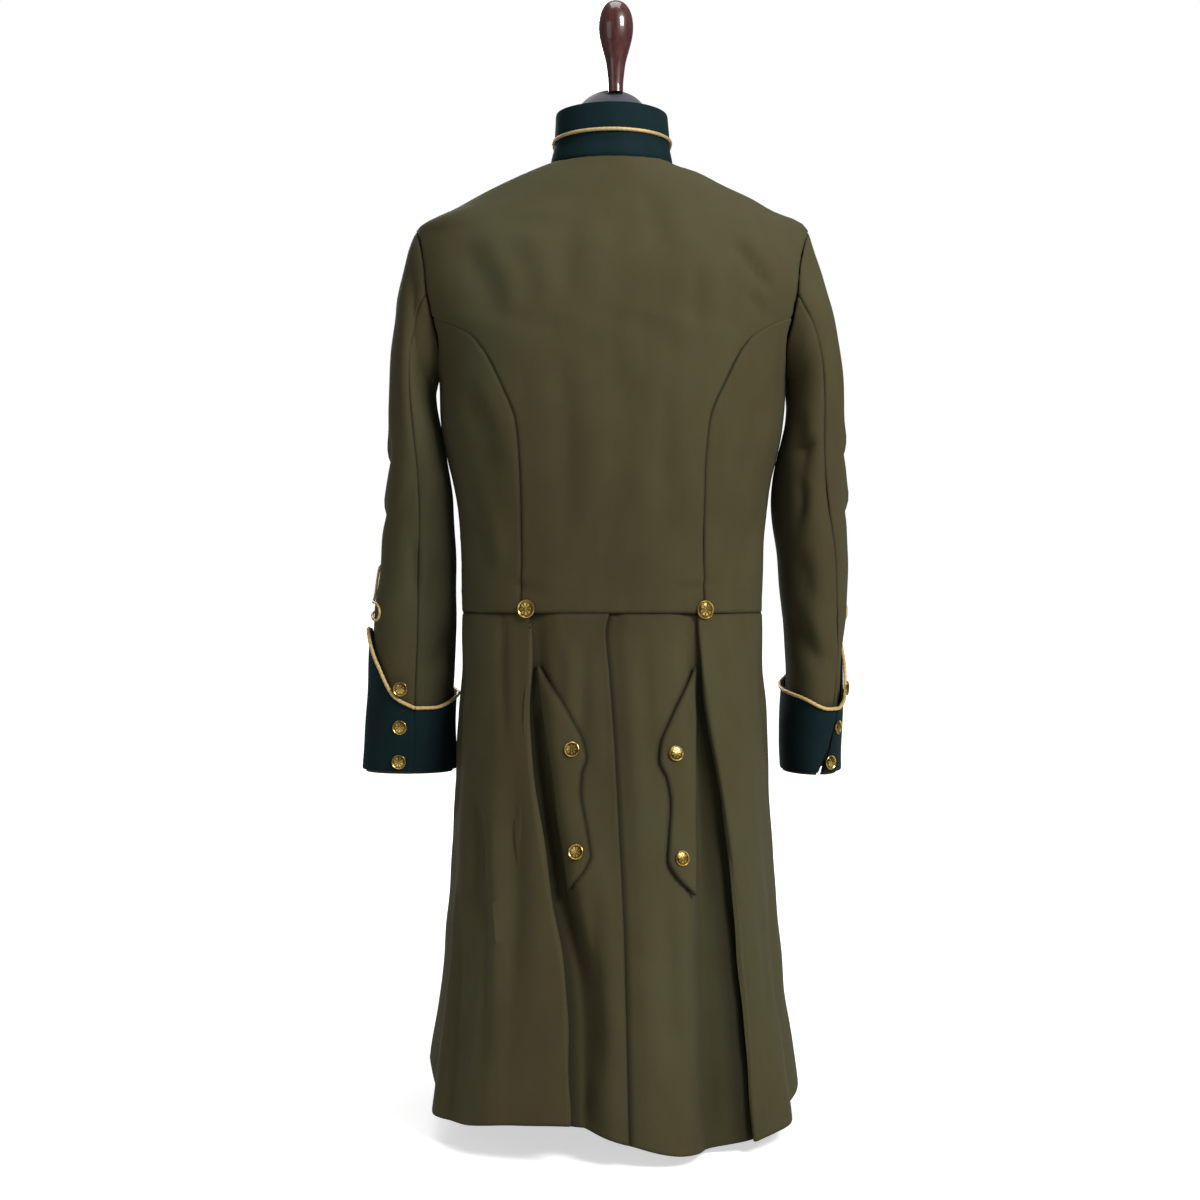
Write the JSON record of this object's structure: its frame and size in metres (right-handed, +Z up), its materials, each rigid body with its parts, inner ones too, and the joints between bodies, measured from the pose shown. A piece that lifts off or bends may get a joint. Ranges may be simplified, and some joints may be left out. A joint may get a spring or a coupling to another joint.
{
  "type": "frock coat on dress form",
  "caption": "Knee-length olive frock coat with green stand collar and cuffs, gold cord and buttons, on a limbless dress form.",
  "frame": {"origin": "on the underside of the stand's base, plumb under the shoulder line and the back's middle", "axes": "+X the wearer's right, +Y the wearer's front, +Z up"},
  "size_m": [0.5614, 0.4066, 1.2605],
  "materials": {
    "suiting": "fine twill wool suiting",
    "facing_cloth": "dense matt broadcloth",
    "gold_cord": "twisted metallic cord",
    "brass_button": "polished, domed, stamped",
    "form_cover": "plain woven cover",
    "cap_cover": "smooth knitted cover",
    "lacquered_wood": "glossy dark lacquer",
    "stand_metal": "satin black"
  },
  "bodies": {
    "root": {"back": "suiting", "side_back_left": "suiting", "side_back_right": "suiting", "front_left": "suiting", "front_right": "suiting", "upper_sleeve_left": "suiting", "upper_sleeve_right": "suiting", "under_sleeve_left": "suiting", "under_sleeve_right": "suiting", "skirt_back_left": "suiting", "skirt_back_right": "suiting", "skirt_front_left": "suiting", "skirt_front_right": "suiting", "pocket_flap_left": "suiting", "pocket_flap_right": "suiting", "collar": "facing_cloth", "cuff_left": "facing_cloth", "cuff_right": "facing_cloth", "collar_piping": "gold_cord", "cuff_piping_left": "gold_cord", "cuff_piping_right": "gold_cord", "sleeve_knot_left": "gold_cord", "sleeve_knot_right": "gold_cord", "hip_button_left": "brass_button", "hip_button_right": "brass_button", "flap_button_left_1": "brass_button", "flap_button_left_2": "brass_button", "flap_button_right_1": "brass_button", "flap_button_right_2": "brass_button", "cuff_button_left_1": "brass_button", "cuff_button_left_2": "brass_button", "cuff_button_left_3": "brass_button", "cuff_button_right_1": "brass_button", "cuff_button_right_2": "brass_button", "cuff_button_right_3": "brass_button", "front_button_1": "brass_button", "front_button_2": "brass_button", "front_button_3": "brass_button", "front_button_4": "brass_button", "front_button_5": "brass_button", "front_button_6": "brass_button", "front_button_7": "brass_button", "front_button_8": "brass_button", "form_torso": "form_cover", "form_neck_cap": "cap_cover", "form_knob": "lacquered_wood", "form_pole": "stand_metal", "form_base": "stand_metal"}
  },
  "joints": []
}
